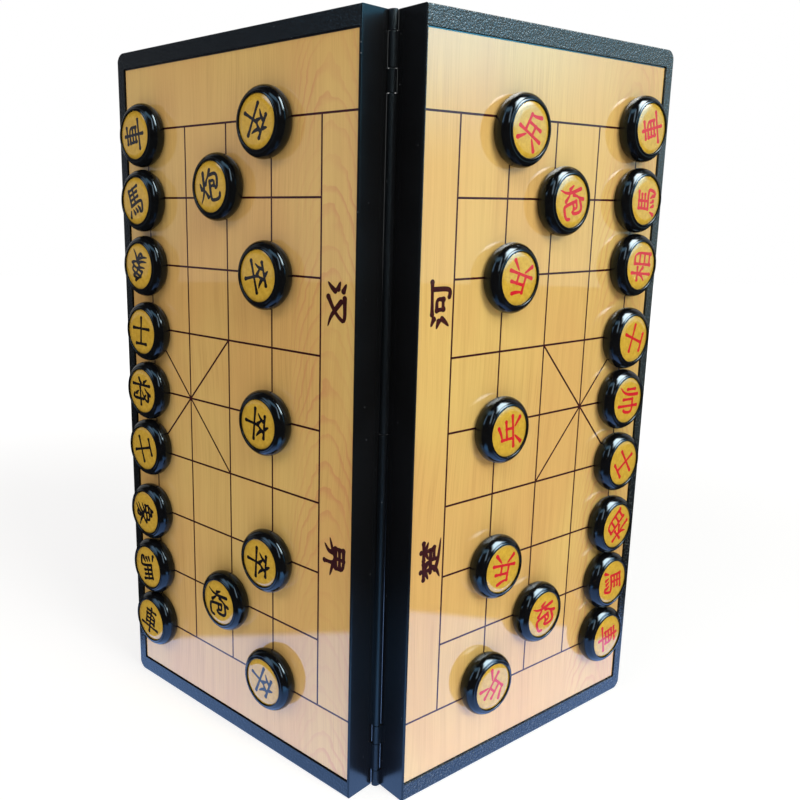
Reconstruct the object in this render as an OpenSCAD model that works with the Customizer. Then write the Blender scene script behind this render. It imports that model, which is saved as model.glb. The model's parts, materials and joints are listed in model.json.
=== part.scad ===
// Folding magnetic xiangqi set: two hinged trays with a playing face on their
// outer sides, standing on end half open, with all thirty-two pieces set out.
// A tray is drawn in its own frame: the hinge axis is Z, X runs away from the
// hinge and the playing face looks along -Y.  Both trays are the same moulding.

/* [Trays] */
// Length of a tray along the hinge
tray_len = 360; // [330:1:420]
// Width of a tray, from the spine wall to the outer side
tray_w = 176.1; // [160:0.1:200]
// Depth of a tray, from the playing-face border to the rim plane
tray_depth = 17.8; // [15:0.1:30]
// Thickness of the four side walls
wall = 2.2; // [1.6:0.1:3.5]
// Thickness of the floor that carries the board
floor_t = 2; // [1.2:0.1:3]
// Radius of the two outer corners, seen square to the playing face
corner_r = 6; // [2:0.5:8]
// Radius of the edges round the playing face
edge_r = 0.5; // [0.4:0.1:1.4]
// Angle between the two rim planes, 0 closed and 180 flat
stand_angle = 98.1; // [60:0.1:150]
// Gap between the two rims when the box is closed
rim_gap = 0.3; // [0.2:0.05:0.6]

/* [Board] */
// Width of the raised border at the two ends
border_end = 8.3; // [6:0.1:12]
// Width of the raised border at the outer side
border_outer = 5.8; // [4:0.1:8]
// Width of the raised border at the spine
border_spine = 1.1; // [1:0.1:4]
// How far the printed board lies below the border
recess = 0.8; // [0.5:0.1:3]
// Thickness of the steel sheet that the magnets hold on to
sheet_t = 0.5; // [0.3:0.1:1]
// Thickness of the printed board film
film_t = 0.4; // [0.3:0.1:1]
// Clearance round the sheet and the film in their pocket
sheet_clear = 0.2; // [0.1:0.05:0.5]

/* [Grid] */
// Distance between two files
file_pitch = 34.9; // [33.5:0.1:37]
// Distance from the spine wall to the river bank
bank_gap = 22.4; // [20:0.1:26]
// Distance from the outer side of the tray to the baseline
baseline_gap = 24.9; // [24.4:0.1:28]
// Width of a printed line
line_w = 1; // [0.4:0.1:1.5]
// Depth to which the lines are pressed into the film
line_deep = 0.05; // [0.02:0.01:0.1]

/* [Hinge] */
// Diameter of the hinge barrel
barrel_d = 3.6; // [3:0.1:5]
// Diameter of the hinge pin
pin_d = 1.5; // [1:0.1:2]
// Radial clearance of the pin in the knuckles
pin_clear = 0.05; // [0.02:0.01:0.1]
// Distance of the hinge axis from the spine wall
axis_out = 1.6; // [1:0.1:1.8]
// Length of the knuckle at the end of the barrel
end_knuckle = 8.4; // [6:0.2:14]
// Length of the second knuckle from the end
second_knuckle = 14.6; // [8:0.2:20]
// Length of the third knuckle from the end
third_knuckle = 9.8; // [6:0.2:16]
// Gap between neighbouring knuckles
knuckle_gap = 0.4; // [0.2:0.1:1]
// Clearance of the other tray's knuckle in its notch
notch_clear = 0.4; // [0.3:0.1:0.8]
// How far each end of the pin lies inside the barrel
pin_inset = 0.8; // [0.2:0.1:2]

/* [Tongue] */
// Length of the tongue that lines up the closed rims
tongue_len = 24; // [12:1:40]
// Thickness of the tongue
tongue_t = 1.8; // [1.2:0.1:2.5]
// Height of the tongue above the rim plane
tongue_rise = 3; // [2:0.5:5]
// Depth of the tongue's root below the rim plane
tongue_root = 8; // [5:0.5:10]
// Clearance between the tongue and the other tray's wall
tongue_clear = 0.4; // [0.3:0.1:0.8]
// Distance of the tongue's middle from the end of the tray
tongue_at = 90; // [60:1:130]

/* [Game pieces] */
// Diameter of a game piece
piece_d = 32.4; // [28:0.2:32.6]
// Height of a game piece
piece_h = 9; // [8:0.1:11]
// Radius of the rounding of its side, seen in section
side_r = 5.4; // [4.5:0.1:7]
// Height of its widest ring above the underside
belly_h = 4; // [3.5:0.1:5]
// Diameter of the label disc
label_d = 24.2; // [20:0.2:25]
// Thickness of the label disc
label_t = 0.3; // [0.2:0.05:0.5]
// How far the label lies below the lip round it
label_sink = 0.8; // [0.1:0.05:1]
// Clearance round the label
label_clear = 0.1; // [0.05:0.05:0.2]
// Width of the lip round the label
lip_w = 1.6; // [0.6:0.1:2]
// Thickness of the shell under the label
crown_t = 1.6; // [1:0.1:2.5]
// Diameter of the magnet
magnet_d = 26; // [18:0.5:26]
// Thickness of the magnet
magnet_t = 1.9; // [1:0.1:2.5]
// Clearance round and below the magnet in its seat
magnet_clear = 0.1; // [0.05:0.05:0.3]
// Width of the ledge that the magnet rests against
magnet_ledge = 0.9; // [0.5:0.1:2]
// Thickness of the glue under the label and over the magnet
glue_t = 0.05; // [0.02:0.01:0.1]
// Air left between a piece and the film
rest_gap = 0.05; // [0.03:0.01:0.2]
// Step in which a hand sets the pieces off their crossings
hand_step = 0.5; // [0:0.1:0.5]

/* [Hidden] */
$fn = 64;
ROUND = 96;
OVER = 1;
RANKS = 5;
FILES = 9;
MID_FILE = (FILES - 1) / 2;
tilt = 90 - stand_angle / 2;
barrel_r = barrel_d / 2;
pin_r = pin_d / 2;

// Tray, measured from the hinge axis
spine_x = axis_out;
outer_x = axis_out + tray_w;
rim_y = -rim_gap / 2;
film_y = -tray_depth + recess;
sheet_y = film_y + film_t;
seat_y = sheet_y + sheet_t;
floor_y = seat_y + floor_t;

// Opening in the raised border
board_x = spine_x + border_spine;
board_w = tray_w - border_spine - border_outer;
board_z = border_end;
board_len = tray_len - 2 * border_end;

// Grid
bank_x = spine_x + bank_gap;
baseline_x = outer_x - baseline_gap;
rank_pitch = (baseline_x - bank_x) / (RANKS - 1);
mid_z = tray_len / 2;
grid_half = MID_FILE * file_pitch;

// Where one tray's knuckles begin and end; the other's fill the rest
end_to_2 = end_knuckle + second_knuckle;
end_to_3 = end_to_2 + third_knuckle;
KNUCKLES = [
    [0, end_knuckle],
    [end_to_2, end_to_3],
    [mid_z, tray_len - end_to_3],
    [tray_len - end_to_2, tray_len - end_knuckle]
];

// Game piece
piece_r = piece_d / 2;
core_r = piece_r - side_r;
recess_r = label_d / 2 + label_clear;
lip_r = recess_r + lip_w;
label_deep = label_t + label_sink + glue_t;
seat_r = magnet_d / 2 + magnet_clear;
cavity_r = seat_r - magnet_ledge;
seat_h = magnet_clear + magnet_t + glue_t;
piece_y = film_y - rest_gap;

// The set-up: name, rank counted from the baseline, file counted from the top
SETUP = [
    ["chariot_1", 0, 0], ["horse_1", 0, 1], ["elephant_1", 0, 2],
    ["advisor_1", 0, 3], ["general", 0, 4], ["advisor_2", 0, 5],
    ["elephant_2", 0, 6], ["horse_2", 0, 7], ["chariot_2", 0, 8],
    ["cannon_1", 2, 1], ["cannon_2", 2, 7],
    ["soldier_1", 3, 0], ["soldier_2", 3, 2], ["soldier_3", 3, 4],
    ["soldier_4", 3, 6], ["soldier_5", 3, 8]
];
// Steps that each piece stands off its crossing: outward and upward
BLACK_OFF = [
    [-1, -6], [1, -3], [0, -2], [-1, -3], [2, 0], [2, 4],
    [4, -3], [3, 0], [1, 4], [4, 10], [2, 0],
    [1, -4], [1, -1], [2, -3], [1, -5], [-3, 6]
];
RED_OFF = [
    [-4, 0], [-3, 0], [-2, 4], [-4, -2], [-5, 2], [-3, 2],
    [-5, 0], [-5, 4], [-6, 8], [6, -2], [6, -1],
    [6, -11], [2, -1], [0, -4], [2, -3], [-3, 12]
];
BLACK = [for (i = [0 : len(SETUP) - 1])
    [str("black_", SETUP[i][0]), SETUP[i][1], SETUP[i][2], BLACK_OFF[i], -1]];
RED = [for (i = [0 : len(SETUP) - 1])
    [str("red_", SETUP[i][0]), SETUP[i][1], SETUP[i][2], RED_OFF[i], 1]];
PIECES = concat(BLACK, RED);

// Where the hinge axis stands, so that the origin is under the middle of the box
front_y = (spine_x + edge_r) * sin(tilt) - (tray_depth - edge_r) * cos(tilt) - edge_r;
back_y = outer_x * sin(tilt) + rim_y * cos(tilt);
hinge_y = -(front_y + back_y) / 2;

// ---- Placing ----

module on_right() {
    translate([0, hinge_y, 0]) rotate([0, 0, tilt]) children();
}

module on_left() {
    translate([0, hinge_y, 0]) rotate([0, 0, -tilt])
        translate([0, 0, tray_len]) rotate([0, 180, 0]) children();
}

module on_side(side) {
    if (side > 0) on_right() children();
    else on_left() children();
}

// ---- Outlines and blocks ----

// Rectangle from low to high with round corners
module round_rect(low, high, r) {
    translate([low[0] + r, low[1]]) square([high[0] - low[0] - 2 * r, high[1] - low[1]]);
    translate([low[0], low[1] + r]) square([high[0] - low[0], high[1] - low[1] - 2 * r]);
    for (x = [low[0] + r, high[0] - r], y = [low[1] + r, high[1] - r])
        translate([x, y]) circle(r = r);
}

// Plan in X and Z, from depth y_low up to y_high
module plan_block(y_low, y_high) {
    translate([0, y_high, 0]) rotate([90, 0, 0])
        linear_extrude(height = y_high - y_low) children();
}

module span_block(low, high) {
    translate(low) cube(high - low);
}

// ---- Tray ----

// Solid outer shape: plan corners, then rounded edges along and across
module tray_block() {
    top = rim_y + edge_r + OVER;
    intersection() {
        plan_block(-tray_depth - OVER, rim_y) tray_plan();
        linear_extrude(height = tray_len)
            round_rect([spine_x, -tray_depth], [outer_x, top], edge_r);
        translate([spine_x - OVER, 0, 0]) rotate([90, 0, 90])
            linear_extrude(height = tray_w + 2 * OVER)
                round_rect([-tray_depth, 0], [top, tray_len], edge_r);
    }
}

module tray_plan() {
    straight_w = tray_w - corner_r;
    translate([spine_x, 0]) square([straight_w, tray_len]);
    round_rect([spine_x, 0], [outer_x, tray_len], corner_r);
}

// Pocket in the playing face for the steel sheet and the film
module board_pocket() {
    span_block([board_x, -tray_depth - OVER, board_z],
               [board_x + board_w, seat_y, board_z + board_len]);
}

// Storage space behind the board, open at the rim
module storage() {
    plan_block(floor_y, OVER)
        round_rect([spine_x + wall, wall], [outer_x - wall, tray_len - wall],
                   corner_r - wall / 2);
}

module knuckle(low, high) {
    translate([0, 0, low]) cylinder(r = barrel_r, h = high - low, $fn = ROUND);
    span_block([0, -barrel_r, low], [spine_x + wall / 2, rim_y, high]);
}

module own_knuckles() {
    for (k = KNUCKLES)
        knuckle(k[0] + (k[0] > 0 ? knuckle_gap / 2 : 0), k[1] - knuckle_gap / 2);
}

// Notch in the spine wall round each knuckle of the other tray
module knuckle_notches() {
    for (k = KNUCKLES) {
        low = tray_len - k[1] - knuckle_gap / 2;
        high = tray_len - k[0] + (k[0] > 0 ? knuckle_gap / 2 : OVER);
        translate([0, 0, low])
            cylinder(r = barrel_r + notch_clear, h = high - low, $fn = ROUND);
    }
}

module pin_bore() {
    translate([0, 0, -OVER])
        cylinder(r = pin_r + pin_clear, h = tray_len + 2 * OVER, $fn = ROUND);
}

// Tongue that enters the other tray when the box closes
module tongue() {
    inner_x = outer_x - wall;
    low_z = tongue_at - tongue_len / 2;
    high_z = tongue_at + tongue_len / 2;
    tip_x = inner_x - tongue_clear;
    span_block([tip_x - tongue_t, -tongue_root, low_z], [tip_x, tongue_rise, high_z]);
    span_block([tip_x - tongue_t, -tongue_root, low_z],
               [inner_x + wall / 2, -tongue_rise, high_z]);
}

module tray() {
    difference() {
        union() {
            difference() {
                tray_block();
                board_pocket();
                storage();
                knuckle_notches();
            }
            own_knuckles();
            tongue();
        }
        pin_bore();
    }
}

module tray_left() {
    color("#1b1c1e") on_left() tray();
}

module tray_right() {
    color("#1b1c1e") on_right() tray();
}

// ---- Hinge pin ----

module hinge_pin() {
    color("#9a9ca0") translate([0, hinge_y, pin_inset])
        cylinder(r = pin_r, h = tray_len - 2 * pin_inset, $fn = ROUND);
}

// ---- Board ----

module board_layer(y_low, y_high) {
    span_block([board_x + sheet_clear, y_low, board_z + sheet_clear],
               [board_x + board_w - sheet_clear, y_high,
                board_z + board_len - sheet_clear]);
}

module steel_sheet() {
    board_layer(sheet_y, seat_y);
}

// A straight line of the grid between two points given as [X, Z]
module grid_line(from, to) {
    run = to - from;
    length = norm(run);
    translate([from[0], film_y + line_deep, from[1]])
        rotate([0, -atan2(run[1], run[0]), 0])
            translate([-line_w / 2, -line_deep - OVER, -line_w / 2])
                cube([length + line_w, line_deep + OVER, line_w]);
}

module grid_lines() {
    for (rank = [0 : RANKS - 1]) {
        x = bank_x + rank * rank_pitch;
        grid_line([x, mid_z - grid_half], [x, mid_z + grid_half]);
    }
    for (file = [-MID_FILE : MID_FILE])
        grid_line([bank_x, mid_z + file * file_pitch],
                  [baseline_x, mid_z + file * file_pitch]);
    for (side = [-1, 1]) {
        z = mid_z + side * grid_half;
        palace_x = baseline_x - 2 * rank_pitch;
        grid_line([board_x, z], [bank_x, z]);
        grid_line([palace_x, mid_z - side * file_pitch],
                  [baseline_x, mid_z + side * file_pitch]);
    }
}

module board_film() {
    difference() {
        board_layer(film_y, sheet_y);
        grid_lines();
    }
}

module steel_sheet_left() {
    color("#8f9296") on_left() steel_sheet();
}

module steel_sheet_right() {
    color("#8f9296") on_right() steel_sheet();
}

module board_film_left() {
    color("#d9ae6a") on_left() board_film();
}

module board_film_right() {
    color("#e6c07c") on_right() board_film();
}

// ---- Game pieces ----

module shell_section() {
    difference() {
        intersection() {
            union() {
                translate([core_r, belly_h]) circle(r = side_r, $fn = ROUND);
                square([core_r, piece_h]);
                translate([0, belly_h]) square([lip_r, piece_h - belly_h]);
            }
            square([piece_r + OVER, piece_h]);
        }
        translate([0, piece_h - label_deep]) square([recess_r, label_deep + OVER]);
        translate([0, -OVER]) square([seat_r, seat_h + OVER]);
        square([cavity_r, piece_h - label_deep - crown_t]);
    }
}

module game_piece() {
    color("#141516") rotate_extrude($fn = ROUND) shell_section();
    color("#3a3533") translate([0, 0, magnet_clear])
        cylinder(r = magnet_d / 2, h = magnet_t, $fn = ROUND);
    color("#c9a53c") translate([0, 0, piece_h - label_sink - label_t])
        cylinder(r = label_d / 2, h = label_t, $fn = ROUND);
}

// One piece of the set-up, standing on the film at its crossing
module set_piece(p) {
    side = p[4];
    x = baseline_x - p[1] * rank_pitch + hand_step * p[3][0];
    up = (MID_FILE - p[2]) * file_pitch + hand_step * p[3][1];
    on_side(side) translate([x, piece_y, mid_z + side * up]) rotate([90, 0, 0])
        game_piece();
}

tray_left();
tray_right();
hinge_pin();
steel_sheet_left();
steel_sheet_right();
board_film_left();
board_film_right();
for (p = PIECES) set_piece(p);
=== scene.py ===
"""Looks of the folding magnetic xiangqi set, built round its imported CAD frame.

Lengths are in millimetres in the constants and turned into metres where a mesh is made.
A playing face has its own frame: X to the viewer's right, Y up and Z out of the face,
with the origin at the hinge axis and at mid-length, in the surface of the printed film.
"""

import json
import math

import bpy
from mathutils import Matrix, Vector


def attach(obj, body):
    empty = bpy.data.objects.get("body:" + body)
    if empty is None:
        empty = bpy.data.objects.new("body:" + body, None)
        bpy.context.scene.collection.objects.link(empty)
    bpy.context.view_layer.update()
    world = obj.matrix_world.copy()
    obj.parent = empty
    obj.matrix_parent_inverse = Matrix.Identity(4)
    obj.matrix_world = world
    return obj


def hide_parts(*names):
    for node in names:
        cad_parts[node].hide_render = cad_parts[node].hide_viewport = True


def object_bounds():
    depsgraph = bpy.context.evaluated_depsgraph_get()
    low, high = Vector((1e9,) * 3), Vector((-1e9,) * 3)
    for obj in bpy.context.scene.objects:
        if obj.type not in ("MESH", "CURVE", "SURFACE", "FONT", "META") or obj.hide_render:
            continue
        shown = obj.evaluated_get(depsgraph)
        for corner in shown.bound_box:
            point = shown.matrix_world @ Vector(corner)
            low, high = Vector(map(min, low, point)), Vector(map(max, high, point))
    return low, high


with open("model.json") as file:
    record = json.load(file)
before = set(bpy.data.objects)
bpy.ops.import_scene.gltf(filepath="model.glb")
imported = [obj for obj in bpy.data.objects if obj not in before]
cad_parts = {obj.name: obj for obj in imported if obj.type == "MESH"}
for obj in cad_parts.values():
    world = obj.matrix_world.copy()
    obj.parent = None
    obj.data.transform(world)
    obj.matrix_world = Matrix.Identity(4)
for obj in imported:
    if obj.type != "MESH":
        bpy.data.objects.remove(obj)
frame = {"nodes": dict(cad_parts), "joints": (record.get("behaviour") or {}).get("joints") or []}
cad_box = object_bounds()

MM = 0.001
JOINTS = {j["name"]: j for j in frame["joints"]}
HINGE = Vector(JOINTS["fold"]["pos_m"])
SIDES = {"left": -1, "right": 1}
COLOURS = {"left": "black", "right": "red"}

# Printed grid, measured outward from the hinge axis
RANKS = 5
FILES = 9
MID_FILE = (FILES - 1) // 2
BANK = 24.0
RANK_PITCH = 32.2
FILE_PITCH = 34.9
LINE_W = 1.0
LINE_DEEP = 0.05
LINE_PROUD = 0.01
LINE_STEP = 0.0005  # each next line stands this much prouder, so that none coincide
LINE_PARTS = 8

# Painted shade: a dark band along the film's edges, where the frame's raised border and recess
# shade it
EDGE_SHADE_BAND = 0.6

# Peaked figure in the printed wood, in metres: its axis, half width and pitch, and how
# many lines it climbs from its half width to its axis
FIGURE_AXIS = {"left": -0.019, "right": 0.148}
FIGURE_HALF = 0.024
FIGURE_PITCH = 0.0125
FIGURE_CLIMB = 4.5

# Game piece
SIDE_R = 5.4
CORE_R = 10.8
BELLY_H = 4.0
PIECE_H = 9.0
LABEL_R = 12.1
LABEL_T = 0.3
LABEL_SINK = 0.8
LABEL_CROWN = 0.1
LABEL_ROLL_W = 3.2  # width of the roll-off along the label's rim, and its drop
LABEL_ROLL = 0.55
LABEL_CLEAR = 0.1
GLUE_T = 0.05
LIP_W = 1.6
CROWN_T = 1.6
MAGNET_R = 13.0
MAGNET_T = 1.9
MAGNET_CLEAR = 0.1
MAGNET_LEDGE = 0.9
TURN_STEPS = 128

# Marks: size of their 100 unit square, and stroke width in those units
MARK_SIZE = 15.4
MARK_WIDTH = 11.0
MARK_PROUD = 0.03
MARK_SINK = 0.08
STROKE_STEP = 0.001  # each next stroke stands this much prouder
CAP_SPAN = 88  # degrees of a stroke's round end on each side
RIVER_SIZE = (19.2, 12.0)
RIVER_WIDTH = 19.0
RIVER_PROUD = 0.02
RIVER_AT = {"left": (13.7, 59.0), "right": (15.8, 59.2)}


# ---- Frames -------------------------------------------------------------------------

def node_points(node):
    return [v.co for v in frame["nodes"][node].data.vertices]


def face_frame(side):
    """Matrix of a playing face, worked out from the joints and the film's node."""
    lift = JOINTS[f"{COLOURS[side]}_general_lift"]
    out = Vector(lift["axis"]).normalized()
    right = Vector((-out.y, out.x, 0))
    film = max((p - HINGE).dot(out) for p in node_points(f"board_film_{side}"))
    turn = Matrix((right, Vector((0, 0, 1)), out)).transposed().to_4x4()
    return Matrix.Translation(HINGE + out * film) @ turn


FACES = {side: face_frame(side) for side in SIDES}


def node_extent(node, side):
    """Lowest and highest coordinates of a CAD node in its face's frame."""
    to_face = FACES[side].inverted()
    points = [to_face @ p for p in node_points(node)]
    low = Vector([min(p[i] for p in points) for i in range(3)])
    high = Vector([max(p[i] for p in points) for i in range(3)])
    return low, high


def piece_frame(node, side):
    """Matrix of a game piece: the middle of its underside, with the face's axes."""
    low, high = node_extent(node, side)
    centre = Vector(((low.x + high.x) / 2, (low.y + high.y) / 2, low.z))
    return FACES[side] @ Matrix.Translation(centre)


# ---- Materials ----------------------------------------------------------------------

def put(tree, kind, settings=None, **inputs):
    """Adds a node. An input is a value or a socket; in0, in1 pick sockets by number."""
    node = tree.nodes.new(kind)
    for name, value in (settings or {}).items():
        setattr(node, name, value)
    for name, value in inputs.items():
        numbered = name[:2] == "in" and name[2:].isdigit()
        socket = node.inputs[int(name[2:]) if numbered else name.replace("_", " ")]
        if isinstance(value, bpy.types.NodeSocket):
            tree.links.new(value, socket)
        else:
            socket.default_value = value
    return node


def new_material(name, **shader_inputs):
    """A material with one Principled shader, its node tree and that shader."""
    material = bpy.data.materials.new(name)
    material.use_nodes = True
    tree = material.node_tree
    shader = tree.nodes["Principled BSDF"]
    for key, value in shader_inputs.items():
        shader.inputs[key.replace("_", " ")].default_value = value
    return material, tree, shader


def rgb(red, green, blue):
    """Linear colour of an 8 bit display colour."""
    def linear(value):
        value /= 255
        return value / 12.92 if value <= 0.04045 else ((value + 0.055) / 1.055) ** 2.4
    return (linear(red), linear(green), linear(blue), 1.0)


def object_coords(tree):
    return put(tree, "ShaderNodeTexCoord").outputs["Object"]


def face_coords(tree, side):
    """Object coordinates turned into the frame of a playing face."""
    matrix = FACES[side]
    mapping = put(tree, "ShaderNodeMapping", {"vector_type": "TEXTURE"},
                  Vector=object_coords(tree), Location=matrix.translation,
                  Rotation=matrix.to_euler())
    return mapping.outputs["Vector"]


def stretched(tree, vector, scale):
    node = put(tree, "ShaderNodeVectorMath", {"operation": "MULTIPLY"},
               in0=vector, in1=scale)
    return node.outputs["Vector"]


def noise(tree, vector, scale, detail=3.0, roughness=0.55):
    node = put(tree, "ShaderNodeTexNoise", Vector=vector, Scale=scale, Detail=detail,
               Roughness=roughness)
    return node.outputs["Fac"]


def ranged(tree, value, low, high, to_low=0.0, to_high=1.0):
    node = put(tree, "ShaderNodeMapRange", {"interpolation_type": "SMOOTHSTEP"},
               Value=value, From_Min=low, From_Max=high, To_Min=to_low, To_Max=to_high)
    return node.outputs["Result"]


def maths(tree, operation, first, second=0.0):
    node = put(tree, "ShaderNodeMath", {"operation": operation}, in0=first, in1=second)
    return node.outputs["Value"]


def blended(tree, factor, first, second, mode="MIX"):
    node = put(tree, "ShaderNodeMix", {"data_type": "RGBA", "blend_type": mode},
               in0=factor, in6=first, in7=second)
    return node.outputs[2]


def add_bump(tree, shader, height, strength, distance):
    bump = put(tree, "ShaderNodeBump", Strength=strength, Distance=distance,
               Height=height)
    tree.links.new(bump.outputs["Normal"], shader.inputs["Normal"])


# Tray plastic: depth of the grain, the colour of the flecks in the grain, and how far that
# colour spreads at the top of the tray. On the right tray the grey-green flecks and the lighter
# top are painted sheen, the reflected light of the bright room on that side; the left tray's
# flecks are the plastic's own faint tone.
GRAIN = {"left": 0.33, "right": 0.55}
FLECK_AND_SHEEN = {"left": (0.02, 0.02, 0.022, 1), "right": (0.19, 0.21, 0.195, 1)}
SHEEN_AMOUNT = {"left": 0.0, "right": 0.22}
# In metres: heights over which the painted sheen grows, distance from the hinge axis over which
# the grain begins, and radius over which the barrel's duller finish ends
SHEEN_RISE = (-0.1, 0.17)
GRAIN_EDGE = (0.0019, 0.0027)
BARREL_EDGE = (0.0019, 0.0022)


def tray_plastic(side):
    """Black moulded plastic, grained all over but for the smooth spine wall."""
    material, tree, shader = new_material(
        f"tray_plastic_{side}", IOR=1.45, Specular_Tint=(0.62, 0.88, 1.0, 1.0))
    coords = face_coords(tree, side)
    place = put(tree, "ShaderNodeSeparateXYZ", Vector=coords).outputs
    grained = ranged(tree, maths(tree, "ABSOLUTE", place["X"]), *GRAIN_EDGE)
    leather = put(tree, "ShaderNodeTexVoronoi", {"feature": "SMOOTH_F1"}, Vector=coords,
                  Scale=1150.0, Smoothness=0.5, Randomness=1.0).outputs["Distance"]
    crumbs = noise(tree, coords, 1000.0, 3.0, 0.65)
    grain = maths(tree, "ADD", leather, crumbs)
    height = maths(tree, "MULTIPLY", grain, grained)
    patches = noise(tree, coords, 22.0, 3.0)
    colour = blended(tree, patches, (0.003, 0.003, 0.003, 1), (0.007, 0.007, 0.008, 1))
    # Painted sheen: the grain's flecks take the fleck colour, and on the right tray that lighter
    # colour also spreads up towards the top
    flecks_and_sheen = ranged(tree, crumbs, 0.5, 0.72, 0.0, 0.5)
    top_sheen = ranged(tree, place["Y"], *SHEEN_RISE, 0.0, SHEEN_AMOUNT[side])
    flecks_and_sheen = maths(tree, "MAXIMUM", flecks_and_sheen, top_sheen)
    flecks_and_sheen = maths(tree, "MULTIPLY", flecks_and_sheen, grained)
    colour = blended(tree, flecks_and_sheen, colour, FLECK_AND_SHEEN[side])
    dust = put(tree, "ShaderNodeTexVoronoi", Vector=coords, Scale=140.0)
    speck = ranged(tree, dust.outputs["Distance"], 0.03, 0.05, 0.3, 0.0)
    colour = blended(tree, speck, colour, rgb(150, 156, 160))
    tree.links.new(colour, shader.inputs["Base Color"])
    rough = ranged(tree, patches, 0.3, 0.7, 0.2, 0.27)
    aside = put(tree, "ShaderNodeVectorMath", {"operation": "SUBTRACT"},
                in0=object_coords(tree), in1=HINGE).outputs["Vector"]
    aside = stretched(tree, aside, (1.0, 1.0, 0.0))
    radius = put(tree, "ShaderNodeVectorMath", {"operation": "LENGTH"}, in0=aside)
    barrel = ranged(tree, radius.outputs["Value"], *BARREL_EDGE, 0.25, 0.0)
    rough = maths(tree, "ADD", rough, barrel)
    tree.links.new(rough, shader.inputs["Roughness"])
    add_bump(tree, shader, height, GRAIN[side], 0.0004)
    return material


def film_edge_shade(tree, coords, side):
    """1 in a narrow band along the four edges of a film, 0 further in: where painted shade
    darkens the film's rim.
    """
    low, high = node_extent(f"board_film_{side}", side)
    place = put(tree, "ShaderNodeSeparateXYZ", Vector=coords).outputs
    gaps = []
    for axis in range(2):
        gaps.append(maths(tree, "SUBTRACT", place[axis], low[axis]))
        gaps.append(maths(tree, "SUBTRACT", high[axis], place[axis]))
    nearest = gaps[0]
    for gap in gaps[1:]:
        nearest = maths(tree, "MINIMUM", nearest, gap)
    return ranged(tree, nearest, EDGE_SHADE_BAND * 0.7 * MM, EDGE_SHADE_BAND * 1.1 * MM, 1.0, 0.0)


def peaked_figure(tree, coords, side):
    """Thin lines of a flat-sawn figure: nested peaks round an upright axis."""
    place = put(tree, "ShaderNodeSeparateXYZ", Vector=coords).outputs
    aside = maths(tree, "SUBTRACT", place["X"], FIGURE_AXIS[side])
    aside = maths(tree, "DIVIDE", aside, FIGURE_HALF)
    bend = maths(tree, "MULTIPLY", noise(tree, coords, 45.0, 3.0), 2.2)
    climb = maths(tree, "MULTIPLY", maths(tree, "MULTIPLY", aside, aside), FIGURE_CLIMB)
    rings = maths(tree, "DIVIDE", place["Y"], FIGURE_PITCH)
    rings = maths(tree, "ADD", maths(tree, "ADD", rings, climb), bend)
    share = maths(tree, "FRACT", rings)
    line = maths(tree, "MULTIPLY", ranged(tree, share, 0.55, 0.93),
                 ranged(tree, share, 0.95, 1.0, 1.0, 0.0))
    reach = ranged(tree, maths(tree, "ABSOLUTE", aside), 0.6, 1.25, 1.0, 0.0)
    shown = ranged(tree, noise(tree, coords, 18.0, 1.0), 0.36, 0.6, 0.25, 1.0)
    return maths(tree, "MULTIPLY", line, maths(tree, "MULTIPLY", reach, shown))


def film_wood(side):
    """Light wood grain under a clear, very glossy film."""
    material, tree, shader = new_material(
        f"board_film_{side}", Roughness=0.4, Specular_IOR_Level=0.0, Coat_Weight=1.0,
        Coat_Roughness=0.03, Coat_IOR=1.75)
    coords = face_coords(tree, side)
    drift = noise(tree, stretched(tree, coords, (9.0, 5.0, 1.0)), 1.0, 2.0)
    shift = put(tree, "ShaderNodeCombineXYZ", X=maths(tree, "MULTIPLY", drift, 0.02))
    warped = put(tree, "ShaderNodeVectorMath", {"operation": "ADD"},
                 in0=coords, in1=shift.outputs["Vector"]).outputs["Vector"]
    fine = noise(tree, stretched(tree, warped, (1.0, 0.016, 1.0)), 1500.0, 2.0, 0.5)
    broad = noise(tree, stretched(tree, warped, (1.0, 0.03, 1.0)), 210.0, 3.0)
    tone = noise(tree, stretched(tree, coords, (1.0, 0.5, 1.0)), 15.0, 2.0)
    veiled = ranged(tree, noise(tree, coords, 20.0, 1.0), 0.35, 0.65, 0.4, 1.0)
    pale = rgb(228, 192, 114)
    honey = rgb(224, 180, 108)
    tan = rgb(190, 142, 82)
    pink = rgb(212, 148, 98)
    colour = blended(tree, ranged(tree, tone, 0.36, 0.64), pale, honey)
    colour = blended(tree, ranged(tree, broad, 0.4, 0.75, 0.0, 0.22), colour, tan)
    strands = maths(tree, "MULTIPLY", ranged(tree, fine, 0.42, 0.68, 0.0, 0.3), veiled)
    colour = blended(tree, strands, colour, tan)
    figure = maths(tree, "MULTIPLY", peaked_figure(tree, coords, side), 0.6)
    colour = blended(tree, figure, colour, pink)
    # Painted shade: the film's rim darkened where the frame's recess shades it
    colour = blended(tree, film_edge_shade(tree, coords, side), colour, rgb(24, 20, 20))
    tree.links.new(colour, shader.inputs["Base Color"])
    add_bump(tree, shader, noise(tree, coords, 30.0, 2.0), 0.05, 0.0004)
    return material


def piece_shell():
    """Polished black plastic with the faint unevenness of a moulding."""
    material, tree, shader = new_material(
        "piece_shell", IOR=1.4, Specular_Tint=(0.62, 0.84, 1.0, 1.0))
    coords = object_coords(tree)
    smear = noise(tree, coords, 160.0, 4.0, 0.6)
    colour = blended(tree, smear, (0.002, 0.002, 0.002, 1), (0.006, 0.006, 0.007, 1))
    tree.links.new(colour, shader.inputs["Base Color"])
    rough = ranged(tree, smear, 0.3, 0.7, 0.07, 0.14)
    tree.links.new(rough, shader.inputs["Roughness"])
    add_bump(tree, shader, noise(tree, coords, 240.0, 2.0), 0.08, 0.0002)
    return material


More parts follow.
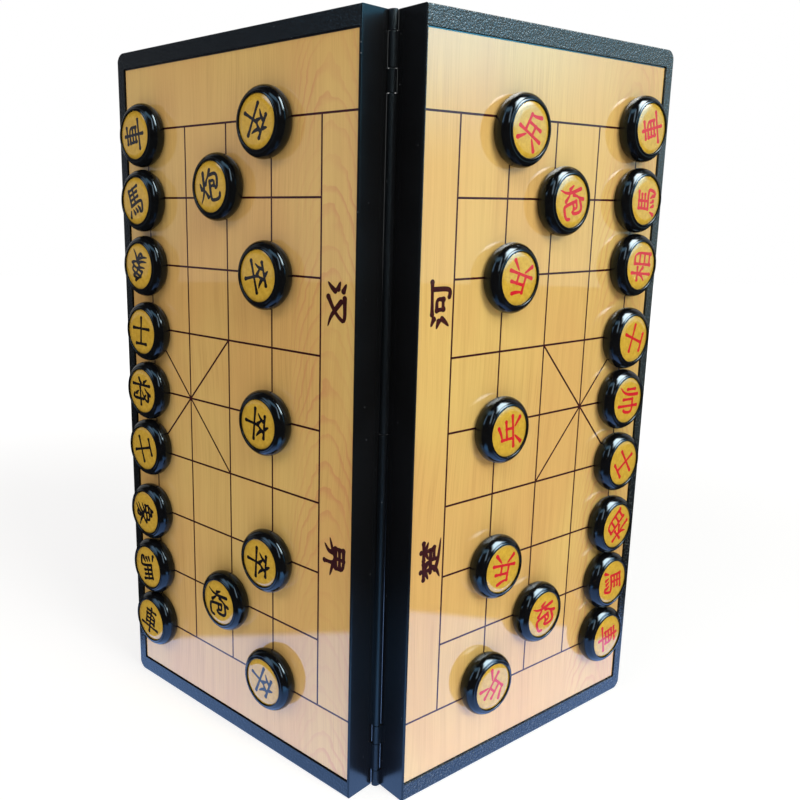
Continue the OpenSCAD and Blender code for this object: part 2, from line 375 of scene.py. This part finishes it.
def printed(name, dark, light, grain_scale, roughness, coat_ior=1.5):
    """A printed colour under a clear gloss, a little uneven as print is."""
    material, tree, shader = new_material(
        name, Roughness=roughness, Specular_IOR_Level=0.1, Coat_Weight=1.0,
        Coat_Roughness=0.05, Coat_IOR=coat_ior)
    coords = object_coords(tree)
    mottle = noise(tree, coords, grain_scale, 4.0, 0.65)
    colour = blended(tree, ranged(tree, mottle, 0.3, 0.7), dark, light)
    tree.links.new(colour, shader.inputs["Base Color"])
    add_bump(tree, shader, noise(tree, coords, 400.0, 2.0), 0.05, 0.0001)
    return material


def bare_metal(name, dark, light, stretch):
    """Rolled or drawn steel, with fine lines along its length."""
    material, tree, shader = new_material(name, Metallic=1.0)
    coords = stretched(tree, object_coords(tree), stretch)
    lines = noise(tree, coords, 900.0, 4.0, 0.6)
    tree.links.new(blended(tree, lines, dark, light), shader.inputs["Base Color"])
    tree.links.new(ranged(tree, lines, 0.2, 0.8, 0.25, 0.42), shader.inputs["Roughness"])
    add_bump(tree, shader, lines, 0.1, 0.0001)
    return material


def ferrite():
    """Dark bonded magnet with a fine dry grain."""
    material, tree, shader = new_material("magnet", Roughness=0.6)
    coords = object_coords(tree)
    grain = noise(tree, coords, 1400.0, 4.0, 0.7)
    colour = blended(tree, grain, (0.022, 0.02, 0.019, 1), (0.06, 0.056, 0.053, 1))
    tree.links.new(colour, shader.inputs["Base Color"])
    add_bump(tree, shader, grain, 0.3, 0.0001)
    return material


MATERIALS = {
    "piece_shell": piece_shell(),
    "label": printed("label", rgb(200, 158, 48), rgb(216, 176, 60), 500.0, 0.34, 1.65),
    "black_ink": printed("black_ink", rgb(9, 7, 8), rgb(22, 17, 18), 900.0, 0.4),
    "red_ink": printed("red_ink", rgb(196, 16, 30), rgb(212, 34, 46), 900.0, 0.4),
    "line_ink": printed("line_ink", rgb(44, 12, 14), rgb(66, 22, 22), 700.0, 0.4, 1.4),
    "magnet": ferrite(),
    "pin_steel": bare_metal("pin_steel", rgb(150, 152, 156), rgb(196, 198, 202),
                            (1.0, 1.0, 0.02)),
    "sheet_steel": bare_metal("sheet_steel", rgb(140, 143, 146), rgb(180, 183, 186),
                              (1.0, 1.0, 0.03)),
}


# ---- Meshes -------------------------------------------------------------------------

def new_mesh(name, points, faces, sharp_degrees=32):
    """A smooth-shaded mesh in metres from points in millimetres."""
    mesh = bpy.data.meshes.new(name)
    mesh.from_pydata([tuple(c * MM for c in p) for p in points], [], faces)
    mesh.polygons.foreach_set("use_smooth", [True] * len(mesh.polygons))
    mesh.set_sharp_from_angle(angle=math.radians(sharp_degrees))
    mesh.update()
    return mesh


def new_piece(name, mesh, matrix, body, nodes=()):
    """An object on a body and the nodes it replaces."""
    obj = bpy.data.objects.new(name, mesh)
    bpy.context.scene.collection.objects.link(obj)
    obj.matrix_world = matrix
    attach(obj, body)
    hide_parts(*nodes)
    return obj


def arc(centre, radius, start, end, steps):
    """Points from one angle to another, in degrees, both ends included."""
    angles = [math.radians(start + (end - start) * i / steps) for i in range(steps + 1)]
    return [(centre[0] + radius * math.cos(a), centre[1] + radius * math.sin(a))
            for a in angles]


def turned(name, profile):
    """Solid of revolution round Z. The profile is (radius, height), axis to axis."""
    points = []
    rings = []
    for radius, height in profile:
        if radius == 0:
            rings.append([len(points)])
            points.append((0.0, 0.0, height))
            continue
        rings.append(list(range(len(points), len(points) + TURN_STEPS)))
        for i in range(TURN_STEPS):
            angle = 2 * math.pi * i / TURN_STEPS
            points.append((radius * math.cos(angle), radius * math.sin(angle), height))
    faces = []
    for upper, lower in zip(rings, rings[1:]):
        for i in range(TURN_STEPS):
            j = (i + 1) % TURN_STEPS
            corners = [upper[i % len(upper)], lower[i % len(lower)],
                       lower[j % len(lower)], upper[j % len(upper)]]
            faces.append(list(dict.fromkeys(corners)))
    return new_mesh(name, points, faces)


def shell_mesh():
    """The piece's shell: crown, recess, lip, rounded side and the magnet's seat."""
    recess_r = LABEL_R + LABEL_CLEAR
    lip_r = recess_r + LIP_W
    seat_r = MAGNET_R + MAGNET_CLEAR
    seat_h = MAGNET_CLEAR + MAGNET_T + GLUE_T
    cavity_r = seat_r - MAGNET_LEDGE
    crown_h = PIECE_H - LABEL_T - LABEL_SINK - GLUE_T
    inner_round = 0.3
    outer_round = 1.4
    foot_round = 0.35
    seat_round = 0.2
    shoulder = math.degrees(math.acos((lip_r - CORE_R) / SIDE_R))
    heel = -math.degrees(math.asin((BELLY_H - foot_round) / SIDE_R))
    foot_r = CORE_R + SIDE_R * math.cos(math.radians(heel))
    profile = [(0, crown_h), (recess_r, crown_h)]
    profile += arc((recess_r + inner_round, PIECE_H - inner_round), inner_round,
                   180, 90, 7)
    crease_h = BELLY_H + SIDE_R * math.sin(math.radians(shoulder))
    crease = math.degrees(math.asin((crease_h - PIECE_H + outer_round) / outer_round))
    profile += arc((lip_r - outer_round, PIECE_H - outer_round), outer_round,
                   90, crease, 8)
    profile += arc((CORE_R, BELLY_H), SIDE_R, shoulder, heel, 44)
    profile += arc((foot_r - foot_round, foot_round), foot_round, 0, -90, 5)[1:]
    profile += [(seat_r + seat_round, 0)]
    profile += arc((seat_r + seat_round, seat_round), seat_round, 270, 180, 4)[1:]
    profile += [(seat_r, seat_h), (cavity_r, seat_h), (cavity_r, crown_h - CROWN_T)]
    profile += [(0, crown_h - CROWN_T)]
    return turned("piece_shell", profile)


def label_top(radius):
    """Height of the label's clear face: slightly crowned, and rolled off at its rim."""
    crown = LABEL_CROWN * (1 - (radius / LABEL_R) ** 2)
    share = max(radius - LABEL_R + LABEL_ROLL_W, 0) / LABEL_ROLL_W
    return PIECE_H - LABEL_SINK + crown + LABEL_ROLL * (1 - share ** 2)


def label_mesh():
    """The label disc under its clear, slightly domed face."""
    rim = 0.1
    rings = 36
    face = [LABEL_R * i / rings for i in range(rings)] + [LABEL_R - rim]
    profile = [(r, label_top(r)) for r in face]
    profile += arc((LABEL_R - rim, label_top(LABEL_R) - rim), rim, 90, 0, 4)[1:]
    bottom = PIECE_H - LABEL_SINK - LABEL_T
    profile += [(LABEL_R, bottom), (0, bottom)]
    return turned("label", profile)


def magnet_mesh():
    """The magnet disc with its bevelled edges."""
    edge = 0.25
    top = MAGNET_CLEAR + MAGNET_T
    profile = [(0, top), (MAGNET_R - edge, top), (MAGNET_R, top - edge)]
    profile += [(MAGNET_R, MAGNET_CLEAR + edge), (MAGNET_R - edge, MAGNET_CLEAR)]
    profile += [(0, MAGNET_CLEAR)]
    return turned("magnet", profile)


# ---- Strokes ------------------------------------------------------------------------

# Plain marks of the game, each a list of strokes in a 100 unit square.
# bar: even with firm ends; fall: runs out to a point; hook: even, then a short flick;
# dot: swells from a thin start.
MARKS = {
    "chariot": ["bar 24,87 77,90", "bar 25,72 27,36", "bar 25,72 76,74 74,37",
                "bar 27,55 73,57", "bar 27,39 73,40", "bar 3,20 97,24",
                "bar 50,100 50,0"],
    "horse": ["bar 25,92 23,40", "bar 26,91 77,94", "bar 26,75 69,77",
              "bar 25,58 69,60", "bar 49,92 48,42",
              "hook 23,40 85,43 84,24 76,2 60,9", "dot 13,26 5,7",
              "dot 28,26 33,11", "dot 43,27 49,13", "dot 58,29 65,16"],
    "elephant": ["fall 44,100 36,88 20,76", "hook 41,90 66,92 54,78",
                 "bar 24,76 22,57", "bar 24,76 79,78 75,58", "bar 50,76 48,58",
                 "bar 23,58 75,59", "fall 50,57 38,47 12,38",
                 "hook 40,48 58,36 61,12 52,0 38,9", "fall 53,38 38,25 10,15",
                 "fall 58,26 42,11 14,-1", "fall 86,52 76,43 61,38",
                 "fall 60,38 74,20 98,6"],
    "minister": ["bar 3,68 44,71", "bar 25,100 25,0", "fall 25,66 18,44 1,28",
                 "dot 29,58 44,42", "bar 56,90 56,4", "bar 56,90 93,92 92,2",
                 "bar 58,63 90,64", "bar 58,36 90,37", "bar 57,9 91,10"],
    "advisor": ["bar 4,60 96,64", "bar 51,100 50,9", "bar 22,6 80,9"],
    "black_general": ["bar 26,98 26,0", "dot 6,82 16,66", "hook 2,36 12,40 25,54",
                      "fall 60,100 52,84 36,68", "fall 54,89 88,92 76,68 46,50",
                      "dot 60,77 69,68", "bar 34,42 98,45",
                      "hook 77,61 77,8 71,0 58,9", "dot 49,32 59,19"],
    "red_general": ["bar 11,84 11,42", "fall 30,100 30,52 22,22 3,0",
                    "bar 46,74 46,22", "hook 46,74 93,76 91,32 80,24",
                    "bar 69,100 69,-2"],
    "cannon": ["dot 6,66 12,48", "dot 43,78 33,60", "fall 25,96 24,50 17,24 1,4",
               "dot 27,42 41,20", "fall 58,100 50,84 38,70",
               "hook 53,85 92,87 89,46 76,40", "bar 54,66 75,67 74,50",
               "bar 54,50 73,51", "hook 54,66 53,14 60,6 94,7 98,28"],
    "black_soldier": ["dot 45,100 53,88", "bar 15,81 85,84", "fall 34,80 28,64 12,50",
                      "dot 32,67 45,54", "fall 66,80 60,66 49,54",
                      "fall 65,69 75,58 88,50", "bar 1,35 99,39", "bar 50,54 50,-2"],
    "red_soldier": ["fall 70,100 50,90 25,84", "bar 29,86 28,38", "bar 30,64 84,67",
                    "bar 61,65 60,38", "bar 2,35 98,38", "dot 35,28 11,3",
                    "dot 64,28 89,5"],
    "han": ["dot 5,92 19,80", "dot 0,63 14,54", "fall 20,38 12,20 0,2",
            "bar 36,86 92,88 80,56 62,30 34,4", "fall 44,68 66,34 82,14 102,2"],
    "jie": ["bar 25,98 26,56", "bar 25,98 77,99 75,57", "bar 27,77 74,78",
            "bar 51,98 51,56", "bar 26,57 75,58", "fall 48,57 34,42 2,26",
            "fall 52,57 68,42 100,26", "fall 38,38 37,18 20,-2", "bar 65,38 65,-2"],
    "he": ["dot 4,92 18,80", "dot -2,64 12,55", "fall 18,38 10,20 0,2",
           "bar 30,89 102,92", "hook 86,90 86,8 77,-2 62,7", "bar 38,66 40,32",
           "bar 38,66 64,67 62,33", "bar 40,34 62,35"],
    "chu": ["bar 4,85 44,87", "bar 25,100 25,56", "fall 23,82 15,70 2,60",
            "dot 28,79 43,66", "bar 54,87 97,89", "bar 75,100 75,56",
            "fall 73,84 66,72 53,62", "fall 77,82 86,72 98,64",
            "hook 18,49 82,51 70,38", "bar 50,50 50,12", "bar 52,31 80,32",
            "fall 30,38 22,16 0,-2", "fall 22,24 48,8 100,-2"],
}


def brush_width(kind, share):
    """Relative width of a stroke at a share of its length."""
    if kind == "fall":
        return 1.15 - share ** 2
    if kind == "hook":
        return 1.0 if share < 0.88 else 1.0 - 6.5 * (share - 0.88)
    if kind == "dot":
        return 0.45 + 0.85 * share
    return 0.8 + 0.4 * abs(2 * share - 1) ** 2


def softened(points, rounds=2):
    """Corner cutting that keeps both ends."""
    for _ in range(rounds):
        cut = [points[0]]
        for a, b in zip(points, points[1:]):
            cut += [a.lerp(b, 0.25), a.lerp(b, 0.75)]
        points = cut + [points[-1]]
    return points


def ribbon(path, widths, cap_steps=4):
    """Cross-sections (left, right) of a flat stroke with round ends."""
    tangents = []
    for i in range(len(path)):
        before = path[max(i - 1, 0)]
        after = path[min(i + 1, len(path) - 1)]
        tangents.append((after - before).normalized())
    stations = list(zip(path, tangents, widths))
    caps = []
    for sign, (point, along, width) in ((-1, stations[0]), (1, stations[-1])):
        cap = []
        for i in range(1, cap_steps + 1):
            angle = math.radians(CAP_SPAN) * i / cap_steps
            reach = sign * width / 2 * math.sin(angle)
            cap.append((point + along * reach, along, width * math.cos(angle)))
        caps.append(cap)
    stations = caps[0][::-1] + stations + caps[1]
    sections = []
    for point, along, width in stations:
        across = Vector((-along.y, along.x)) * width / 2
        sections.append((point + across, point - across))
    return sections


def add_strip(points, faces, sections, low, high):
    """A closed solid under a strip; low and high give its heights at a point."""
    first = len(points)
    for left, right in sections:
        for p, height in ((left, high), (right, high), (right, low), (left, low)):
            points.append((p.x, p.y, height(p)))
    count = len(sections)
    for i in range(count - 1):
        for side in range(4):
            a = first + 4 * i + side
            b = first + 4 * i + (side + 1) % 4
            faces.append((b, a, a + 4, b + 4))
    faces.append((first, first + 1, first + 2, first + 3))
    last = first + 4 * (count - 1)
    faces.append((last + 3, last + 2, last + 1, last))


def mark_mesh(name, size, width, turn, low, high):
    """A mark of the game from its strokes, turned about its middle, in degrees."""
    points = []
    faces = []
    spin = Matrix.Rotation(math.radians(turn), 2)
    for order, stroke in enumerate(MARKS[name]):
        kind, *corners = stroke.split()
        path = []
        for corner in corners:
            x, y = (float(v) / 100 - 0.5 for v in corner.split(","))
            path.append(Vector((x * size[0], y * size[1])))
        path = softened(path)
        thick = width * min(size) / 100
        steps = len(path) - 1
        widths = [thick * brush_width(kind, i / steps) for i in range(len(path))]
        lift = STROKE_STEP * order
        sections = [(spin @ a, spin @ b) for a, b in ribbon(path, widths)]
        add_strip(points, faces, sections, low, lambda p, lift=lift: high(p) + lift)
    return new_mesh(f"mark_{name}", points, faces)


def line_mesh(side):
    """The printed grid of one half, filling the grooves of its film."""
    sign = SIDES[side]
    low, high = node_extent(f"board_film_{side}", side)
    spine_edge = min(abs(low.x), abs(high.x)) / MM
    baseline = BANK + (RANKS - 1) * RANK_PITCH
    palace = baseline - 2 * RANK_PITCH
    top = MID_FILE * FILE_PITCH
    half = LINE_W / 2
    lines = []
    for rank in range(RANKS):
        u = BANK + rank * RANK_PITCH
        lines.append(((u, -top - half), (u, top + half)))
    for file in range(FILES):
        v = (file - MID_FILE) * FILE_PITCH
        edge = spine_edge if file in (0, FILES - 1) else BANK - half
        lines.append(((edge, v), (baseline + half, v)))
    for slope in (-1, 1):
        lines.append(((palace, -slope * FILE_PITCH), (baseline, slope * FILE_PITCH)))
    points = []
    faces = []
    for order, (start, end) in enumerate(lines):
        start = Vector((sign * start[0], start[1]))
        end = Vector((sign * end[0], end[1]))
        across = (end - start).normalized()
        across = Vector((-across.y, across.x)) * half
        sections = []
        for i in range(LINE_PARTS + 1):
            p = start.lerp(end, i / LINE_PARTS)
            sections.append((p + across, p - across))
        proud = LINE_PROUD + LINE_STEP * order
        add_strip(points, faces, sections, lambda p: -LINE_DEEP,
                  lambda p, proud=proud: proud)
    return new_mesh(f"grid_{side}", points, faces)


# ---- Box ----------------------------------------------------------------------------

def dress_node(node, material):
    """Gives a CAD node that stays a better material."""
    obj = frame["nodes"][node]
    for slot in obj.material_slots:
        slot.material = material


def dress_box():
    """Materials of the trays, films, sheets and pin."""
    for side in SIDES:
        dress_node(f"tray_{side}", tray_plastic(side))
        dress_node(f"board_film_{side}", film_wood(side))
        dress_node(f"steel_sheet_{side}", MATERIALS["sheet_steel"])
    dress_node("hinge_pin", MATERIALS["pin_steel"])


def print_board():
    """Grid and river marks on both films."""
    river = {"left": ("han", "jie", -90), "right": ("chu", "he", 90)}
    for side, sign in SIDES.items():
        body = f"{side}_half"
        grid = line_mesh(side)
        grid.materials.append(MATERIALS["line_ink"])
        new_piece(f"grid_{side}", grid, FACES[side], body)
        first, second, turn = river[side]
        out, up = RIVER_AT[side]
        # the first mark is the upper one on the left half and the lower on the right
        for name, height in ((first, -sign * up), (second, sign * up)):
            mesh = mark_mesh(name, RIVER_SIZE, RIVER_WIDTH, turn, lambda p: -LINE_DEEP,
                             lambda p: RIVER_PROUD)
            mesh.materials.append(MATERIALS["line_ink"])
            place = Matrix.Translation((sign * out * MM, height * MM, 0))
            new_piece(f"river_mark_{name}", mesh, FACES[side] @ place, body)


# ---- Game pieces --------------------------------------------------------------------

# How far a hand turned each piece, counter-clockwise in degrees
TURNS = {
    "black": {"chariot_1": 95, "horse_1": 22, "elephant_1": 155, "advisor_1": -3,
              "general": -90, "advisor_2": 105, "elephant_2": -80, "horse_2": 192,
              "chariot_2": -12, "cannon_1": 10, "cannon_2": -85, "soldier_1": -118,
              "soldier_2": -78, "soldier_3": -98, "soldier_4": -96, "soldier_5": -115},
    "red": {"chariot_1": 103, "horse_1": 88, "elephant_1": 85, "advisor_1": 70,
            "general": -92, "advisor_2": -57, "elephant_2": 130, "horse_2": -85,
            "chariot_2": -82, "cannon_1": -72, "cannon_2": -72, "soldier_1": -30,
            "soldier_2": 162, "soldier_3": 94, "soldier_4": 172, "soldier_5": -130},
}


def mark_name(colour, piece):
    """Name of a piece's mark: general, elephant and soldier differ between the sides."""
    kind = piece.split("_")[0]
    if kind in ("general", "soldier"):
        return f"{colour}_{kind}"
    if kind == "elephant" and colour == "red":
        return "minister"
    return kind


def set_out_pieces():
    """Every game piece: shell, label, magnet and mark, on the body of its node."""
    shapes = {"shell": shell_mesh(), "label": label_mesh(), "magnet": magnet_mesh()}
    slots = {"shell": "piece_shell", "label": "label", "magnet": "magnet"}
    for part, mesh in shapes.items():
        mesh.materials.append(MATERIALS[slots[part]])
    for side, colour in COLOURS.items():
        ink = f"{colour}_ink"
        for piece, turn in TURNS[colour].items():
            node = f"{colour}_{piece}"
            place = piece_frame(node, side)
            for part, mesh in shapes.items():
                new_piece(f"{node}_{part}", mesh, place, node, [node])
            mark = mark_mesh(mark_name(colour, piece), (MARK_SIZE, MARK_SIZE),
                             MARK_WIDTH, turn,
                             lambda p: label_top(p.length) - MARK_SINK,
                             lambda p: label_top(p.length) + MARK_PROUD)
            mark.materials.append(MATERIALS[ink])
            new_piece(f"{node}_mark", mark, place, node, [node])


# ---- Stage --------------------------------------------------------------------------

# Camera: place in metres, turn in degrees, focal length in millimetres, shift
CAMERA_AT = (-0.00626, -0.43561, 0.28041)
CAMERA_TURN = (77.656, -0.328, 4.127)
LENS = 39.13
SENSOR = 36.0
SHIFT = (0.1122, -0.0031)

# The floor beside and before the box is brighter in gloss: edges in X and Y, in metres
BRIGHT_X = (-0.18, 0.217)
BRIGHT_Y = (-0.12, 0.3)
FRONT_X = (-0.05, 0.05)
FRONT_Y = (-0.26, -0.12)
# and lengths of a mirrored ray over which that brightness fades
BRIGHT_REACH = (0.2, 0.3)
FLOOR_HALF = 3.0
FLOOR_GAP = 0.0002
SIDE_GLOW = (0.8, 1.3, 2.5, 1)
FRONT_GLOW = (1.2, 2.6, 4.6, 1)
# What the floor beside the box adds to the light that falls on it from below
BOUNCE = (0.65, 0.7, 1.3, 1)

# What gloss shows of the room: azimuth, from the viewer's side to the right, and
# elevation, both edge to edge in degrees, then the edges' softness and the colour
ROOM_LIGHTS = [
    ((-118, -60), (-26, 9), 6, (0.32, 0.34, 0.4, 1)),
    ((60, 118), (-26, 9), 6, (0.5, 0.7, 0.75, 1)),
    ((55, 95), (7, 34), 5, (0.7, 3.2, 4.8, 1)),
    ((44, 92), (34, 68), 5, (36.0, 35.0, 33.0, 1)),
    ((62, 96), (20, 34), 4, (7.0, 9.0, 11.0, 1)),
    ((-80, -44), (20, 48), 4, (2.4, 3.2, 4.1, 1)),
    ((-60, 4), (50, 64), 4, (1.8, 2.7, 3.3, 1)),
    ((6, 14), (18, 56), 3, (7.5, 7.8, 8.2, 1)),
]
ROOM_DARK = (0.012, 0.014, 0.016, 1)
ROOM_BEHIND = (0.5, 0.5, 0.5, 1)
SKY_STRENGTH = 0.32

# Lamps: place, size, power in watts and colour; all of them look at one point
LAMPS = {
    "left_softbox": ((-1.3, -0.99, 1.3), (1.7, 0.56), 9.0, (1.0, 0.85, 0.77)),
    "right_softbox": ((1.25, -1.25, 1.03), (0.9, 0.78), 19.5, (1.0, 1.0, 0.9)),
    "top_softbox": ((0.3, -0.75, 1.1), (0.8, 0.2), 3.0, (0.94, 0.98, 1.0)),
}
LAMP_TARGET = (0, 0, 0.2)


def make_camera():
    """The photograph's view."""
    data = bpy.data.cameras.new("camera")
    data.lens = LENS
    data.sensor_width = SENSOR
    data.shift_x, data.shift_y = SHIFT
    data.clip_start = 0.01
    camera = bpy.data.objects.new("camera", data)
    camera.location = CAMERA_AT
    camera.rotation_euler = [math.radians(a) for a in CAMERA_TURN]
    bpy.context.scene.collection.objects.link(camera)
    bpy.context.scene.camera = camera


def make_lamp(name, place, size, power, colour):
    """A soft rectangular lamp, which gloss doesn't show."""
    data = bpy.data.lights.new(name, "AREA")
    data.shape = "RECTANGLE"
    data.size, data.size_y = size
    data.energy = power
    data.color = colour
    lamp = bpy.data.objects.new(name, data)
    lamp.location = place
    aim = Vector(LAMP_TARGET) - Vector(place)
    lamp.rotation_euler = aim.to_track_quat("-Z", "Y").to_euler()
    lamp.visible_glossy = False
    bpy.context.scene.collection.objects.link(lamp)


def within(tree, value, low, high, soft):
    """1 between two limits, with soft edges."""
    above = ranged(tree, value, low - soft, low + soft)
    below = ranged(tree, value, high - soft, high + soft, 1.0, 0.0)
    return maths(tree, "MULTIPLY", above, below)


def floor_material():
    """Pale floor that keeps the shadow: white to the camera, bluish in gloss."""
    material = bpy.data.materials.new("pale_floor")
    material.use_nodes = True
    tree = material.node_tree
    tree.nodes.clear()
    ray = put(tree, "ShaderNodeLightPath").outputs
    place = put(tree, "ShaderNodeNewGeometry").outputs["Position"]
    along = put(tree, "ShaderNodeSeparateXYZ", Vector=place).outputs
    beside = maths(tree, "MULTIPLY", within(tree, along["X"], *BRIGHT_X, 0.006),
                   within(tree, along["Y"], *BRIGHT_Y, 0.04))
    before = maths(tree, "MULTIPLY", within(tree, along["X"], *FRONT_X, 0.02),
                   within(tree, along["Y"], *FRONT_Y, 0.04))
    far = put(tree, "ShaderNodeVectorMath", {"operation": "LENGTH"}, in0=place)
    far = ranged(tree, far.outputs["Value"], 0.4, 1.4, 0.7, 1.0)
    speckle = noise(tree, place, 40.0, 3.0)
    colour = blended(tree, speckle, (0.80, 0.81, 0.82, 1), (0.86, 0.86, 0.86, 1))
    plain = put(tree, "ShaderNodeBsdfDiffuse", Color=colour).outputs["BSDF"]
    bounce = blended(tree, beside, (0, 0, 0, 1), BOUNCE)
    bounce = put(tree, "ShaderNodeEmission", Color=bounce).outputs["Emission"]
    plain = put(tree, "ShaderNodeAddShader", in0=plain, in1=bounce).outputs["Shader"]
    dim = put(tree, "ShaderNodeBsdfDiffuse", Color=(0.45, 0.45, 0.45, 1)).outputs["BSDF"]
    white = put(tree, "ShaderNodeEmission", Strength=far).outputs["Emission"]
    seen = put(tree, "ShaderNodeAddShader", in0=dim, in1=white).outputs["Shader"]
    low = ranged(tree, ray["Ray Length"], *BRIGHT_REACH, 1.0, 0.12)
    glow = blended(tree, maths(tree, "MULTIPLY", beside, low), (0.03, 0.035, 0.04, 1),
                   SIDE_GLOW)
    glow = blended(tree, maths(tree, "MULTIPLY", before, low), glow, FRONT_GLOW)
    gloss = put(tree, "ShaderNodeEmission", Color=glow).outputs["Emission"]
    mirrored = maths(tree, "MAXIMUM", ray["Is Glossy Ray"], ray["Is Transmission Ray"])
    result = put(tree, "ShaderNodeMixShader", in0=mirrored, in1=plain, in2=gloss)
    result = put(tree, "ShaderNodeMixShader", in0=ray["Is Camera Ray"],
                 in1=result.outputs["Shader"], in2=seen)
    put(tree, "ShaderNodeOutputMaterial", Surface=result.outputs["Shader"])
    return material


def make_floor():
    """A plain floor just below the box."""
    mesh = bpy.data.meshes.new("floor")
    corners = [(FLOOR_HALF * x, FLOOR_HALF * y, 0)
               for x, y in ((-1, -1), (1, -1), (1, 1), (-1, 1))]
    mesh.from_pydata(corners, [], [(0, 1, 2, 3)])
    mesh.materials.append(floor_material())
    floor = bpy.data.objects.new("floor", mesh)
    floor.location.z = cad_box[0][2] - FLOOR_GAP
    bpy.context.scene.collection.objects.link(floor)


def make_world():
    """White to the camera; to gloss, grey behind the box and a dark room with lights."""
    world = bpy.data.worlds.new("studio")
    bpy.context.scene.world = world
    world.use_nodes = True
    tree = world.node_tree
    tree.nodes.clear()
    ray = put(tree, "ShaderNodeLightPath").outputs
    direction = put(tree, "ShaderNodeTexCoord").outputs["Generated"]
    way = put(tree, "ShaderNodeSeparateXYZ", Vector=direction).outputs
    front = maths(tree, "MULTIPLY", way["Y"], -1.0)
    azimuth = maths(tree, "DEGREES", maths(tree, "ARCTAN2", way["X"], front))
    elevation = maths(tree, "DEGREES", maths(tree, "ARCSINE", way["Z"]))
    room = ROOM_DARK
    for across, up, soft, colour in ROOM_LIGHTS:
        spot = maths(tree, "MULTIPLY", within(tree, azimuth, *across, 2 * soft),
                     within(tree, elevation, *up, soft))
        room = blended(tree, spot, room, colour)
    behind = ranged(tree, way["Y"], 0.3, 0.5)
    room = blended(tree, behind, room, ROOM_BEHIND)
    light = put(tree, "ShaderNodeBackground", Color=(1, 1, 1, 1), Strength=SKY_STRENGTH)
    gloss = put(tree, "ShaderNodeBackground", Color=room, Strength=1.0)
    white = put(tree, "ShaderNodeBackground", Color=(1, 1, 1, 1), Strength=1.0)
    mirrored = maths(tree, "MAXIMUM", ray["Is Glossy Ray"], ray["Is Transmission Ray"])
    result = put(tree, "ShaderNodeMixShader", in0=mirrored,
                 in1=light.outputs["Background"], in2=gloss.outputs["Background"])
    result = put(tree, "ShaderNodeMixShader", in0=ray["Is Camera Ray"],
                 in1=result.outputs["Shader"], in2=white.outputs["Background"])
    put(tree, "ShaderNodeOutputWorld", Surface=result.outputs["Shader"])


def make_stage():
    """Floor, world, lamps and the plain view transform."""
    make_floor()
    make_world()
    for name, lamp in LAMPS.items():
        make_lamp(name, *lamp)
    bpy.context.scene.view_settings.view_transform = "Standard"


make_camera()
make_stage()
dress_box()
print_board()
set_out_pieces()
